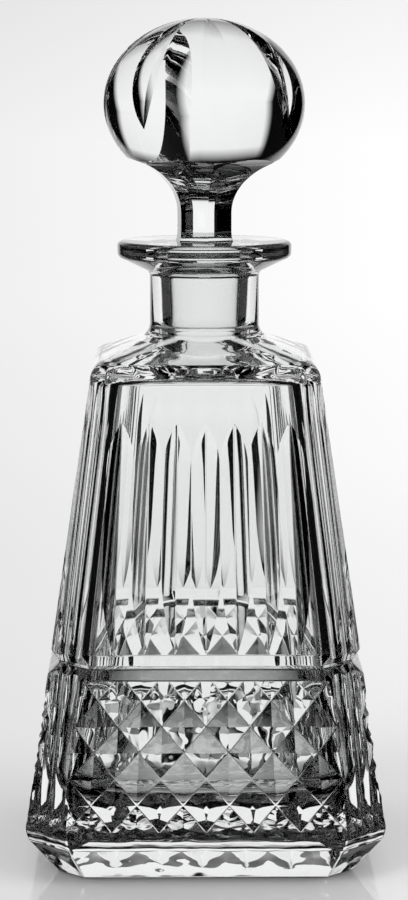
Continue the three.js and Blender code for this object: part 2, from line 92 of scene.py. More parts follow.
class Workpiece:
    """One mesh on the bench, with the hand tools that shape it."""

    def __init__(self, name: str) -> None:
        """Takes the object that a primitive has just made, and names it and its mesh."""
        self.obj = bpy.context.object
        self.obj.name = name
        self.obj.data.name = name

    @staticmethod
    def clear_bench() -> None:
        """Leaves nothing selected, so that no tool touches another piece."""
        if bpy.context.object and bpy.context.object.mode != "OBJECT":
            bpy.ops.object.mode_set(mode="OBJECT")
        bpy.ops.object.select_all(action="DESELECT")

    @classmethod
    def add(cls, name: str, primitive: Callable[..., set[str]], **settings: object) -> "Workpiece":
        """Makes a piece on a clear bench by Blender's operator for a primitive, and settles it."""
        cls.clear_bench()
        primitive(**settings)
        piece = cls(name)
        piece.settle()
        return piece

    @classmethod
    def block(cls, name: str, size: tuple[float, float, float], centre: Vector) -> "Workpiece":
        """Rectangular blank, by its lengths along X, Y and Z and its middle."""
        return cls.add(name, bpy.ops.mesh.primitive_cube_add, size=1.0, location=centre, scale=size)

    @classmethod
    def disc(cls, name: str, radius: float, height: float, segments: int) -> "Workpiece":
        """Flat round start for a turned form, open to be drawn up by `draw_up`."""
        return cls.add(name, bpy.ops.mesh.primitive_circle_add, vertices=segments, radius=radius,
                       fill_type="NGON", location=(0.0, 0.0, height))

    def focus(self) -> None:
        """Makes this the only selected and active object, in object mode."""
        self.clear_bench()
        self.obj.select_set(True)
        bpy.context.view_layer.objects.active = self.obj

    def settle(self) -> None:
        """Puts the object's own place, turn and scale into its mesh."""
        self.focus()
        bpy.ops.object.transform_apply(location=True, rotation=True, scale=True)

    def edit(self, kind: str, action: str = "DESELECT") -> None:
        """Enters edit mode for one kind of part, with nothing or, by SELECT, all selected."""
        self.focus()
        bpy.ops.object.mode_set(mode="EDIT")
        bpy.ops.mesh.select_mode(type=kind)
        bpy.ops.mesh.select_all(action=action)

    def done(self) -> None:
        """Leaves edit mode."""
        bpy.ops.object.mode_set(mode="OBJECT")

    def pick_verts(self, test: Callable[[Vector], bool]) -> None:
        """Selects the vertices whose place passes the test, in edit mode."""
        mesh = bmesh.from_edit_mesh(self.obj.data)
        for vert in mesh.verts:
            vert.select_set(test(vert.co))
        mesh.select_flush_mode()
        bmesh.update_edit_mesh(self.obj.data)

    def pick_edges(self, test: Callable[[Vector, Vector], bool]) -> None:
        """Selects the edges whose two end places pass the test, in edit mode."""
        mesh = bmesh.from_edit_mesh(self.obj.data)
        for edge in mesh.edges:
            edge.select_set(test(edge.verts[0].co, edge.verts[1].co))
        mesh.select_flush_mode()
        bmesh.update_edit_mesh(self.obj.data)

    def saw(self, point: Vector, normal: Vector) -> None:
        """Cuts away all that lies outside a plane and closes the cut, in edit mode."""
        bpy.ops.mesh.select_all(action="SELECT")
        bpy.ops.mesh.bisect(plane_co=point, plane_no=normal, use_fill=True, clear_outer=True)

    def score(self, point: Vector, normal: Vector) -> None:
        """Adds a line of edges where a plane meets the piece, in edit mode."""
        bpy.ops.mesh.select_all(action="SELECT")
        bpy.ops.mesh.bisect(plane_co=point, plane_no=normal)

    def draw_up(self, profile: Iterable[tuple[float, float]]) -> None:
        """Draws a disc along a profile of radius and height, which starts where the disc is."""
        steps = list(profile)
        self.edit("FACE", "SELECT")
        for (last_radius, last_height), (radius, height) in zip(steps, steps[1:]):
            bpy.ops.mesh.extrude_region_move(
                TRANSFORM_OT_translate={"value": (0.0, 0.0, height - last_height)})
            share = radius / last_radius
            bpy.ops.transform.resize(
                value=(share, share, 1.0), center_override=(0.0, 0.0, height))
        self.done()
        self.face_outwards()

    def face_outwards(self) -> None:
        """Turns every face outwards."""
        self.edit("FACE", "SELECT")
        bpy.ops.mesh.normals_make_consistent(inside=False)
        self.done()

    def apply(self, kind: str, **settings: object) -> None:
        """Adds a modifier of Blender's with its settings, and applies it."""
        self.focus()
        modifier = self.obj.modifiers.new(kind.lower(), kind)
        for name, value in settings.items():
            setattr(modifier, name, value)
        bpy.ops.object.modifier_apply(modifier=modifier.name)

    def grind(self, cutter: "Workpiece", keep: bool = False) -> None:
        """Takes the cutter's form out of the piece."""
        self._combine(cutter, "DIFFERENCE", keep)

    def grind_round(self, cutter: "Workpiece", count: int) -> None:
        """Takes the cutter's form out at even turns about the vertical axis."""
        for i in range(count):
            if i:
                cutter.turn_to(2.0 * math.pi / count)
            self.grind(cutter, keep=i < count - 1)

    def fuse(self, other: "Workpiece") -> None:
        """Joins another piece to this one as one solid."""
        self._combine(other, "UNION", False)

    def _combine(self, other: "Workpiece", operation: str, keep: bool) -> None:
        """Runs a boolean with another piece, which is then removed unless it is kept."""
        self.apply("BOOLEAN", operation=operation, solver="MANIFOLD", object=other.obj)
        if not keep:
            other.discard()

    def discard(self) -> None:
        """Removes the piece from the bench."""
        mesh = self.obj.data
        bpy.data.objects.remove(self.obj)
        bpy.data.meshes.remove(mesh)

    def turn_to(self, angle: float) -> None:
        """Turns the piece about the vertical axis and settles it."""
        self.obj.rotation_euler = (0.0, 0.0, angle)
        self.settle()

    def place(self, matrix: Matrix) -> None:
        """Puts the piece where a matrix says and settles it."""
        self.obj.matrix_world = matrix
        self.settle()

    def soften(self, widths: Callable[[Vector, Vector], float], segments: int) -> None:
        """Rounds each edge by the width that its two ends give, 0 for none."""
        self.edit("EDGE")
        mesh = bmesh.from_edit_mesh(self.obj.data)
        layer = mesh.edges.layers.float.new("bevel_weight_edge")
        found = {edge: widths(edge.verts[0].co, edge.verts[1].co) for edge in mesh.edges}
        widest = max(found.values())
        for edge, width in found.items():
            edge[layer] = width / widest
        bmesh.update_edit_mesh(self.obj.data)
        self.done()
        self.apply("BEVEL", limit_method="WEIGHT", width=widest, segments=segments,
                   use_clamp_overlap=True, miter_outer="MITER_SHARP")

    def polish(self, crease_angle: float) -> None:
        """Shades round forms smooth and leaves cut edges crisp, with flat facets kept flat."""
        self.focus()
        bpy.ops.object.shade_smooth_by_angle(angle=crease_angle, keep_sharp_edges=False)
        self.apply("WEIGHTED_NORMAL", mode="FACE_AREA", weight=60, keep_sharp=True)


@dataclass
class Flank:
    """Tapered square with cut corners, the way it narrows from base to shoulder."""

    base_half: float = 56.0 * MM
    base_leg: float = 13.0 * MM
    base_height: float = 13.0 * MM
    foot_half: float = 45.5 * MM
    foot_leg: float = 8.0 * MM
    shoulder_half: float = 34.9 * MM
    shoulder_leg: float = 4.7 * MM
    shoulder_height: float = 157.0 * MM

    def half(self, height: float) -> float:
        """Half width between the flat faces at a height."""
        return mix(self.base_half, self.shoulder_half, self.share(height))

    def leg(self, height: float) -> float:
        """What the corner cut takes off each face at a height."""
        return mix(self.base_leg, self.shoulder_leg, self.share(height))

    def share(self, height: float) -> float:
        """Share of the way from base to shoulder."""
        return (height - self.base_height) / (self.shoulder_height - self.base_height)

    @property
    def lean(self) -> float:
        """Angle between a face and the vertical."""
        rise = self.shoulder_height - self.base_height
        return math.atan((self.base_half - self.shoulder_half) / rise)

    def corner_reach(self, half: float, leg: float) -> float:
        """Distance from the axis to a cut corner's plane."""
        return (2.0 * half - leg) / math.sqrt(2.0)


@dataclass
class Crystal:
    """Base of both glass pieces: the fineness of their round forms and the cutters' reach."""

    overrun: float = 4.0 * MM
    round_segments: int = 96
    crease_angle: float = math.radians(24.0)

    def finish_piece(self, piece: Workpiece, body: Body, node: str,
                     material: bpy.types.Material) -> None:
        """Dresses a finished piece, ties it to its body and hides the CAD node it stands for."""
        piece.polish(self.crease_angle)
        piece.obj.data.materials.clear()
        piece.obj.data.materials.append(material)
        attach(piece.obj, body.value)
        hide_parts(node)
        LOG.info("%s rides on %s with %d faces",
                 piece.obj.name, body.value, len(piece.obj.data.polygons))


@dataclass
class DecanterBody(Crystal):
    """Base, tapered sides, shoulder, neck and lip, one piece of glass with its cuts."""

    flank: Flank = field(default_factory=Flank)
    shoulder_rise: float = 7.5 * MM
    shoulder_rounding: float = 2.4 * MM
    base_rounding: float = 2.8 * MM
    foot_rounding: float = 0.9 * MM
    groove_rounding: float = 1.1 * MM
    groove_edge_rounding: float = 0.35 * MM
    bevel_corner_rounding: float = 0.5 * MM
    corner_rounding: float = 0.4 * MM
    rounding_segments: int = 6
    neck_radius: float = 17.2 * MM
    root_fillet: float = 5.0 * MM
    neck_top: float = 184.9 * MM
    lip_radius: float = 27.4 * MM
    lip_top: float = 193.7 * MM
    lip_thickness: float = 5.6 * MM
    lip_rounding: float = 2.0 * MM
    lip_flatness: float = 0.7
    lip_roll_degrees: tuple[float, float] = (-68.0, 88.0)
    cove_radius: float = 2.4 * MM
    cove_degrees: float = 75.0
    bore_top_radius: float = 12.0 * MM
    bore_taper: float = 0.056
    bore_flare: float = 0.7 * MM
    bore_flare_knee: float = 0.3
    base_wall: float = 7.0 * MM
    upper_wall: float = 4.2 * MM
    floor_height: float = 24.0 * MM
    floor_rounding: float = 9.0 * MM
    floor_start_degrees: float = -86.0
    shoulder_wall: float = 4.5 * MM
    ceiling_rounding: float = 2.0 * MM
    mouth_rounding: float = 3.0 * MM
    squareness: float = 5.0
    hollow_segments: int = 128
    groove_height: float = 66.1 * MM
    groove_upper: float = 4.4 * MM
    groove_lower: float = 3.1 * MM
    groove_depth: float = 3.3 * MM
    cut_half_angle: float = math.radians(62.0)
    valley_softness: float = 0.25 * MM
    valley_segments: int = 3
    ridge_flat: float = 0.3 * MM
    mitre_count: int = 7
    mitre_top: float = 141.0 * MM
    mitre_point: float = 13.0 * MM
    mitre_run_out: float = 25.5 * MM
    mitre_top_pitch: float = 8.5 * MM
    mitre_bottom_pitch: float = 9.41 * MM
    mitre_stretches: int = 60
    diamond_bottom: float = 17.1 * MM
    diamond_half_height: float = 7.95 * MM
    diamond_rows: int = 6
    diamond_top_row: float = 5.75
    diamond_full_row: float = 5.0
    diamond_bottom_width: float = 14.4 * MM
    diamond_top_width: float = 13.0 * MM
    diamond_count: int = 6
    diamond_stretches: int = 24
    flute_radius: float = 4.6 * MM
    flute_offset: float = 3.4 * MM
    flute_bottom: float = 17.5 * MM
    flute_top: float = 153.5 * MM
    flute_segments: int = 192

    def bore_radius(self, height: float) -> float:
        """Radius of the ground bore at a height."""
        return self.bore_top_radius - (self.lip_top - height) * self.bore_taper

    def blank(self) -> Workpiece:
        """Body from the foot to the neck root, sawn from a block and softened along its edges."""
        flank = self.flank
        top = flank.shoulder_height + self.shoulder_rise
        width = 2.0 * flank.base_half
        piece = Workpiece.block("crystal_body", (width, width, top), UP * (top / 2.0))
        piece.edit("FACE")
        for quarter in range(SIDES):
            face = bearing(quarter * math.pi / 2.0)
            corner = bearing((quarter + 0.5) * math.pi / 2.0)
            for way, base, foot, edge in (
                (face, flank.base_half, flank.foot_half, flank.shoulder_half),
                (corner, flank.corner_reach(flank.base_half, flank.base_leg),
                 flank.corner_reach(flank.foot_half, flank.foot_leg),
                 flank.corner_reach(flank.shoulder_half, flank.shoulder_leg)),
            ):
                low, high = flank.base_height, flank.shoulder_height
                self._saw_between(piece, way, (base, low), (edge, high))
                self._saw_between(piece, way, (foot, 0.0), (base, low))
                self._saw_between(piece, way, (edge, high), (self.neck_radius, top))
        for offset in (-self.groove_lower, 0.0, self.groove_upper):
            piece.score(UP * (self.groove_height + offset), UP)
        piece.pick_verts(lambda co: abs(co.z - self.groove_height) < NEAR)
        share = 1.0 - self.groove_depth / flank.half(self.groove_height)
        bpy.ops.transform.resize(
            value=(share, share, 1.0), center_override=(0.0, 0.0, self.groove_height))
        piece.done()
        piece.soften(self._edge_width, segments=self.rounding_segments)
        return piece

    @staticmethod
    def _saw_between(piece: Workpiece, way: Vector, low: tuple[float, float],
                     high: tuple[float, float]) -> None:
        """Saws along the plane that faces a way and holds two lines, each by reach and height."""
        point = way * low[0] + UP * low[1]
        normal = way * (high[1] - low[1]) - UP * (high[0] - low[0])
        piece.saw(point, normal.normalized())

    def _edge_width(self, one: Vector, two: Vector) -> float:
        """Rounding of the blank's edge between two places."""
        flank = self.flank
        near = 0.05 * MM
        level = abs(one.z - two.z) < near
        if level and abs(one.z - flank.shoulder_height) < near:
            return self.shoulder_rounding
        if min(one.z, two.z) > flank.shoulder_height - near and not level:
            return 0.5 * self.shoulder_rounding
        if level and abs(one.z - flank.base_height) < near:
            return self.base_rounding
        if level and one.z < near:
            return self.foot_rounding
        above_groove = one.z - self.groove_height
        if level and abs(above_groove) < near:
            return self.groove_rounding
        if level and -self.groove_lower - near < above_groove < self.groove_upper + near:
            return self.groove_edge_rounding
        if max(one.z, two.z) < flank.base_height + near:
            return self.bevel_corner_rounding
        return 0.0 if level else self.corner_rounding

    def neck(self) -> Workpiece:
        """Neck and lip, drawn up from the root."""
        flank = self.flank
        slope = self.shoulder_rise / (flank.shoulder_half - self.neck_radius)
        turn = math.pi / 2.0 - math.atan(slope)
        fillet, cove, roll = self.root_fillet, self.cove_radius, self.lip_rounding
        crown = self.lip_flatness * roll
        rim = self.lip_radius - roll
        roll_start, roll_end = self.lip_roll_degrees
        foot_radius = self.neck_radius + fillet * (1.0 - math.cos(turn))
        foot_height = flank.shoulder_height + (flank.shoulder_half - foot_radius) * slope
        fillet_centre = (self.neck_radius + fillet, foot_height + fillet * math.sin(turn))
        cove_centre = (self.neck_radius + cove, self.neck_top - cove)
        roll_centre = (rim, self.lip_top - self.lip_thickness + roll)
        profile = [
            (foot_radius, foot_height - self.overrun),
            *arc(fillet_centre, -fillet, -fillet, sweep(math.degrees(turn), 0.0)),
            *arc(cove_centre, -cove, cove, sweep(0.0, self.cove_degrees)),
            *arc(roll_centre, roll, roll, sweep(roll_start, 0.0)),
            *arc((rim, self.lip_top - crown), roll, crown, sweep(0.0, roll_end)),
        ]
        piece = Workpiece.disc("neck", profile[0][0], profile[0][1], self.round_segments)
        piece.draw_up(profile)
        return piece

    def inner_half(self, height: float) -> float:
        """Half width of the room inside at a height. Its walls thin out towards the shoulder."""
        wall = mix(self.base_wall, self.upper_wall, self.flank.share(height))
        return self.flank.half(height) - wall

    def hollow(self) -> Workpiece:
        """Room inside, as a solid: a soft square that closes in to the round bore above it."""
        levels = [*self._room_levels(), *self._bore_levels()]
        piece = Workpiece.disc("hollow", MM, 0.0, self.hollow_segments)
        piece.draw_up((MM, i * MM) for i in range(len(levels)))
        for vert in piece.obj.data.vertices:
            height, half, squareness = levels[round(vert.co.z / MM)]
            way = vert.co.xy.normalized()
            total = abs(way.x) ** squareness + abs(way.y) ** squareness
            reach = half / total ** (1.0 / squareness)
            vert.co = Vector((way.x * reach, way.y * reach, height))
        piece.face_outwards()
        return piece

    def _room_levels(self) -> list[tuple[float, float, float]]:
        """Height, half width and squareness at each level, from the floor up to the bore."""
        rounding = self.floor_rounding
        floor_top = self.floor_height + rounding
        curve = arc((self.inner_half(floor_top) - rounding, floor_top), rounding, rounding,
                    sweep(self.floor_start_degrees, 0.0))
        levels = [(height, half, self.squareness) for half, height in curve]
        ceiling = self.flank.shoulder_height - self.shoulder_wall
        mouth_height = self.flank.shoulder_height + self.shoulder_rise - self.shoulder_wall
        wall_top = Vector((self.inner_half(ceiling), ceiling))
        mouth = Vector((self.bore_radius(mouth_height), mouth_height))
        slope = (mouth - wall_top).normalized()
        below = ceiling - self.ceiling_rounding
        above = mouth_height + self.mouth_rounding
        curves = (
            (Vector((self.inner_half(below), below)), wall_top,
             wall_top + slope * self.ceiling_rounding),
            (mouth - slope * self.mouth_rounding, mouth,
             Vector((self.bore_radius(above), above))),
        )
        for start, bend, finish in curves:
            for i in range(CURVE_STEPS + 1):
                share = i / CURVE_STEPS
                place = start.lerp(bend, share).lerp(bend.lerp(finish, share), share)
                closed = min(max((wall_top.x - place.x) / (wall_top.x - mouth.x), 0.0), 1.0)
                levels.append((place.y, place.x, mix(self.squareness, ROUND, math.sqrt(closed))))
        return levels

    def _bore_levels(self) -> list[tuple[float, float, float]]:
        """Height, radius and squareness at each level of the bore's flared top."""
        flare = self.bore_flare
        knee = self.bore_flare_knee * flare
        top, radius = self.lip_top, self.bore_top_radius
        return [
            (top - flare, self.bore_radius(top - flare), ROUND),
            (top - knee, radius + knee, ROUND),
            (top, radius + flare, ROUND),
            (top + self.overrun, radius + flare, ROUND),
        ]

    def face_matrix(self, height: float) -> Matrix:
        """Place on the front face at a height: X across, Y up the face, Z out of the glass."""
        lean = self.flank.lean
        out = Vector((0.0, -math.cos(lean), math.sin(lean)))
        up = Vector((0.0, math.sin(lean), math.cos(lean)))
        across = Vector((1.0, 0.0, 0.0))
        place = Vector((0.0, -self.flank.half(height), height))
        return Matrix.Translation(place) @ Matrix((across, up, out)).transposed().to_4x4()

    def wedge(self, length: float, depth: float, pieces: int) -> Workpiece:
        """V cutter along Y, divided along its length, that leaves a valley of some depth."""
        tall = depth + self.overrun
        spread = tall * math.tan(self.cut_half_angle)
        tool = Workpiece.add("wedge", bpy.ops.mesh.primitive_cylinder_add,
                             vertices=3, radius=1.0, depth=1.0)
        place = Matrix.Translation((0.0, 0.0, -depth)) @ Matrix((
            (spread / PRISM_HALF_WIDTH, 0.0, 0.0, 0.0),
            (0.0, 0.0, length, 0.0),
            (0.0, -tall / PRISM_HEIGHT, 0.0, tall / PRISM_HEIGHT),
            (0.0, 0.0, 0.0, 1.0),
        ))
        tool.obj.data.transform(place)
        tool.edit("EDGE")
        tool.pick_edges(lambda one, two: abs(one.y - two.y) > NEAR
                        and max(one.z, two.z) < NEAR - depth)
        bpy.ops.mesh.bevel(
            offset=self.valley_softness, segments=self.valley_segments, affect="EDGES")
        for i in range(1, pieces):
            tool.score(Vector((0.0, length * (i / pieces - 0.5), 0.0)), Vector((0.0, 1.0, 0.0)))
        tool.done()
        tool.face_outwards()
        return tool

    def mitre_cutters(self) -> list[Workpiece]:
        """Tall pointed cutters above the groove on the front face."""
        groove_top = self.groove_height + self.groove_upper
        length = (self.mitre_top - groove_top) / math.cos(self.flank.lean)
        shrink = self.mitre_top_pitch / self.mitre_bottom_pitch
        depth = (self.mitre_bottom_pitch - self.ridge_flat) / 2.0 / math.tan(self.cut_half_angle)
        tools = []
        for i in range(self.mitre_count):
            tool = self.wedge(length, depth, self.mitre_stretches)
            place = (i - (self.mitre_count - 1) / 2.0) * self.mitre_bottom_pitch
            for vert in tool.obj.data.vertices:
                share = vert.co.y / length + 0.5
                narrow = mix(1.0, shrink, share)
                to_top = 1.0 - min((1.0 - share) * length / self.mitre_point, 1.0)
                to_groove = 1.0 - min(share * length / self.mitre_run_out, 1.0)
                fullness = narrow * (1.0 - to_top ** 2) * (1.0 - to_groove ** 2)
                vert.co.x = place * narrow + vert.co.x
                vert.co.z += depth * (1.0 - fullness) * RUN_OUT_LIFT
                vert.co.y += length / 2.0
            tool.place(self.face_matrix(groove_top))
            tools.append(tool)
        return tools

    def diamond_cutters(self) -> list[Workpiece]:
        """Crossing cutters below the groove on the front face."""
        count = math.ceil((self.diamond_count + self.diamond_rows) / 2.0)
        tools = [self._diamond_cutter(lean, start)
                 for lean in (-1, 1) for start in range(-count, count + 1)]
        return [tool for tool in tools if tool]

    def _diamond_cutter(self, lean: int, start: int) -> "Workpiece | None":
        """One slanting cutter of the diamond band, or None where it would miss the face.

        Args:
            lean: 1 where the cut rises to the right, -1 to the left.
            start: Place along the bottom line, in diamonds from the middle.
        """
        flank = self.flank
        rows = self.diamond_rows
        rise = self.diamond_half_height

        def width(row: float) -> float:
            return mix(self.diamond_bottom_width, self.diamond_top_width, row / rows)

        def across(row: float) -> float:
            return (start + lean * row / 2.0) * width(row)

        def inside(row: float) -> bool:
            return abs(across(row)) < flank.half(self.diamond_bottom + row * rise)

        if not any(inside(row) for row in range(rows + 1)):
            return None
        middle = width(rows / 2.0)
        pitch = middle * rise / math.hypot(middle / 2.0, rise)
        depth = (pitch - self.ridge_flat) / 2.0 / math.tan(self.cut_half_angle)
        tool = self.wedge(1.0, depth, self.diamond_stretches)
        full_row, top_row = self.diamond_full_row, self.diamond_top_row
        along = rise / math.cos(flank.lean)
        for vert in tool.obj.data.vertices:
            row = (vert.co.y + 0.5) * top_row
            run = Vector((lean * width(row) / 2.0, along)).normalized()
            low = 1.0 - min(row, 1.0)
            high = max(row - full_row, 0.0) / (top_row - full_row)
            fullness = width(row) / middle * (1.0 - low ** 2) * (1.0 - high ** 2)
            side = vert.co.x
            vert.co.x = across(row) + side * run.y
            vert.co.y = row * along - side * run.x
            vert.co.z += depth * (1.0 - fullness) * RUN_OUT_LIFT
        tool.place(self.face_matrix(self.diamond_bottom))
        tool.face_outwards()
        return tool

    def flute_cutters(self) -> list[Workpiece]:
        """Two round-edged cutters, side by side, along the cut corner left of the front."""
        flank = self.flank
        low, clear = self.flute_bottom, -0.03 * MM
        # Height and depth of the flute along its run
        depths = (
            (low, clear), (low + 0.6 * MM, 0.55 * MM), (low + 1.6 * MM, 1.15 * MM),
            (low + 3.2 * MM, 1.55 * MM), (low + 5.5 * MM, 1.7 * MM), (41.0 * MM, 1.6 * MM),
            (self.groove_height, 1.5 * MM), (95.0 * MM, 1.5 * MM), (141.0 * MM, 1.5 * MM),
            (148.0 * MM, 1.2 * MM), (151.5 * MM, 0.7 * MM), (self.flute_top, clear),
        )
        out = Vector((-1.0, -1.0, 0.0)).normalized()
        along = Vector((1.0, -1.0, 0.0)).normalized()
        tools = []
        for side in (-1.0, 1.0):
            tool = Workpiece.disc("flute", self.flute_radius, 0.0, self.flute_segments)
            centres = []
            for height, depth in depths:
                reach = flank.corner_reach(flank.half(height), flank.leg(height))
                centres.append(out * (reach + self.flute_radius - depth)
                               + along * (side * self.flute_offset) + UP * height)
            tool.obj.location = centres[0]
            tool.settle()
            tool.edit("FACE", "SELECT")
            for last, here in zip(centres, centres[1:]):
                bpy.ops.mesh.extrude_region_move(TRANSFORM_OT_translate={"value": here - last})
            tool.done()
            tool.face_outwards()
            tools.append(tool)
        return tools

    def make(self, material: bpy.types.Material) -> None:
        """Builds the body, cuts it and ties it to the frame."""
        piece = self.blank()
        piece.fuse(self.neck())
        piece.grind(self.hollow())
        for tool in [*self.mitre_cutters(), *self.diamond_cutters(), *self.flute_cutters()]:
            piece.grind_round(tool, SIDES)
        self.finish_piece(piece, Body.DECANTER, "decanter_body", material)


@dataclass
class Stopper(Crystal):
    """Ball knob with leaf cuts, six-sided stem and ground peg, one piece of glass."""

    seat: DecanterBody = field(default_factory=DecanterBody)
    knob_radius: float = 31.5 * MM
    knob_half_height: float = 26.5 * MM
    knob_centre: float = 236.5 * MM
    stem_half: float = 7.95 * MM
    stem_foot_half: float = 8.6 * MM
    stem_foot_flare: float = 3.6 * MM
    stem_waist: float = 9.2 * MM
    flare_reach: float = 24.0 * MM
    flare_rise: float = 18.0 * MM
    stem_facets: int = 6
    stem_spare: float = 0.5 * MM
    facet_steps: int = 24
    core_flare: float = 1.55
    core_flare_drop: float = 0.88
    core_top_drop: float = 0.6
    peg_length: float = 28.6 * MM
    peg_recess: float = 0.3 * MM
    peg_rounding: float = 0.6 * MM
    peg_knee: float = 0.3
    seat_gap: float = 0.15 * MM
    leaf_count: int = 8
    leaf_depth: float = 2.0 * MM
    leaf_half_angle: float = math.radians(68.0)
    leaf_start: float = math.radians(87.0)
    leaf_end: float = math.radians(-16.2)
    leaf_overrun: float = 0.12
    leaf_steps: int = 72
    turned: float = math.radians(7.0)

    def blank(self) -> Workpiece:
        """Ball, stem core and peg before the facets are ground."""
        peg_top = self.seat.lip_top - self.peg_recess
        peg_bottom = peg_top - self.peg_length
        corner = self.stem_foot_half / math.cos(math.pi / self.stem_facets) + self.stem_spare
        flared = self.core_flare * corner
        ball = Workpiece.add(
            "crystal_stopper", bpy.ops.mesh.primitive_uv_sphere_add, segments=self.round_segments,
            ring_count=self.round_segments // 2, radius=1.0, location=UP * self.knob_centre,
            scale=(self.knob_radius, self.knob_radius, self.knob_half_height))
        low, high = (self.seat.bore_radius(end) - self.seat_gap for end in (peg_bottom, peg_top))
        edge = self.peg_rounding
        knee = self.peg_knee * edge
        profile = [
            (low - edge, peg_bottom),
            (low - knee, peg_bottom + knee),
            (low, peg_bottom + edge),
            (high, peg_top - edge),
            (high - edge, peg_top),
            (corner, peg_top),
            (corner, peg_top + self.stem_waist),
            (flared, self.knob_centre - self.core_flare_drop * self.knob_half_height),
            (flared, self.knob_centre - self.core_top_drop * self.knob_half_height),
        ]
        core = Workpiece.disc("core", profile[0][0], profile[0][1], self.round_segments)
        core.draw_up(profile)
        ball.fuse(core)
        return ball

    def facet_cutter(self) -> Workpiece:
        """What is ground off the front of the stem: flat, and flared up into the knob."""
        levels = self._facet_levels()
        bottom, top = levels[0][0], levels[-1][0]
        across, deep = 4.0 * self.knob_radius, 2.0 * self.flare_reach
        tool = Workpiece.block("facet", (across, deep, top - bottom),
                               Vector((0.0, -deep / 2.0, (top + bottom) / 2.0)))
        tool.edit("FACE")
        for height, _ in levels[1:-1]:
            tool.score(UP * height, UP)
        tool.done()
        for vert in tool.obj.data.vertices:
            if vert.co.y > -deep / 2.0:
                vert.co.y = -min(levels, key=lambda level: abs(level[0] - vert.co.z))[1]
        tool.face_outwards()
        return tool

    def _facet_levels(self) -> list[tuple[float, float]]:
        """Height and reach of a stem facet at each level, from the foot up into the knob."""
        foot = self.seat.lip_top - self.peg_recess
        turns = sweep(0.0, 90.0, self.facet_steps)
        narrowing = self.stem_foot_half - self.stem_half
        low = [(foot + self.stem_foot_flare * (1.0 - math.cos(turn)),
                self.stem_foot_half - narrowing * math.sin(turn)) for turn in turns]
        high = [(foot + self.stem_waist + self.flare_rise * math.sin(turn),
                 self.stem_half + self.flare_reach * (1.0 - math.cos(turn))) for turn in turns]
        return low + high

    def leaf_cutter(self) -> Workpiece:
        """V cutter bent along the front of the knob, shallow at both ends of its run."""
        middle = (self.leaf_start + self.leaf_end) / 2.0
        start, surface, end = (
            Vector((-self.knob_radius * math.cos(angle),
                    self.knob_centre + self.knob_half_height * math.sin(angle)))
            for angle in (self.leaf_start, middle, self.leaf_end))
        outward = Vector((-math.cos(middle) / self.knob_radius,
                          math.sin(middle) / self.knob_half_height)).normalized()
        centre, radius = circle_through(start, surface - outward * self.leaf_depth, end)
        tall = self.leaf_depth + self.overrun
        spread = tall * math.tan(self.leaf_half_angle)
        first, last = (math.atan2(place.y - centre.y, place.x - centre.x)
                       for place in (start, end))
        run = (last - first) % (2.0 * math.pi) + 2.0 * self.leaf_overrun
        begin = first - self.leaf_overrun
        tool = Workpiece.disc("leaf", 1.0, 0.0, 3)
        way = Vector((0.0, math.cos(begin), math.sin(begin)))
        tip = Vector((0.0, centre.x, centre.y)) + way * radius
        drop = tall / PRISM_HEIGHT
        tool.obj.data.transform(Matrix((
            (spread / PRISM_HALF_WIDTH, 0.0, 0.0, 0.0),
            (0.0, -drop * way.y, 0.0, tip.y + drop * way.y),
            (0.0, -drop * way.z, 0.0, tip.z + drop * way.z),
            (0.0, 0.0, 0.0, 1.0),
        )))
        tool.edit("FACE", "SELECT")
        bpy.ops.mesh.spin(steps=self.leaf_steps, angle=run, center=(0.0, centre.x, centre.y),
                          axis=(-1.0, 0.0, 0.0))
        tool.done()
        tool.face_outwards()
        return tool

    def make(self, material: bpy.types.Material) -> None:
        """Builds the stopper, cuts it and ties it to the frame."""
        piece = self.blank()
        facet = self.facet_cutter()
        facet.turn_to(math.pi / self.stem_facets)
        piece.grind_round(facet, self.stem_facets)
        piece.grind_round(self.leaf_cutter(), self.leaf_count)
        piece.turn_to(self.turned)
        self.finish_piece(piece, Body.STOPPER, "stopper", material)


def circle_through(a: Vector, b: Vector, c: Vector) -> tuple[Vector, float]:
    """Centre and radius of the circle through three places in a plane."""
    aa, bb, cc = a.length_squared, b.length_squared, c.length_squared
    d = 2.0 * (a.x * (b.y - c.y) + b.x * (c.y - a.y) + c.x * (a.y - b.y))
    centre = Vector(((aa * (b.y - c.y) + bb * (c.y - a.y) + cc * (a.y - b.y)) / d,
                     (aa * (c.x - b.x) + bb * (a.x - c.x) + cc * (b.x - a.x)) / d))
    return centre, (a - centre).length


class Socket:
    """An output socket that can be used in plain sums."""

    def __init__(self, graph: "Graph", socket: bpy.types.NodeSocket) -> None:
        """Wraps a socket of a graph."""
        self.graph = graph
        self.socket = socket

    def _sum(self, operation: str, *values: object) -> "Socket":
        """Math node of one or two values."""
        return self.graph.node("ShaderNodeMath", {"operation": operation}, list(values))

    def __add__(self, other: object) -> "Socket":
        """self + other."""
        return self._sum("ADD", self, other)

    def __sub__(self, other: object) -> "Socket":
        """self - other."""
        return self._sum("SUBTRACT", self, other)

    def __rsub__(self, other: object) -> "Socket":
        """other - self."""
        return self._sum("SUBTRACT", other, self)

    def __mul__(self, other: object) -> "Socket":
        """self * other."""
        return self._sum("MULTIPLY", self, other)

    def __truediv__(self, other: object) -> "Socket":
        """self / other."""
        return self._sum("DIVIDE", self, other)

    def __abs__(self) -> "Socket":
        """Value without its sign."""
        return self._sum("ABSOLUTE", self)

    def root(self) -> "Socket":
        """Square root."""
        return self._sum("SQRT", self)

    def clamp(self) -> "Socket":
        """Value kept between 0 and 1."""
        return self.graph.node("ShaderNodeClamp", {}, [self])


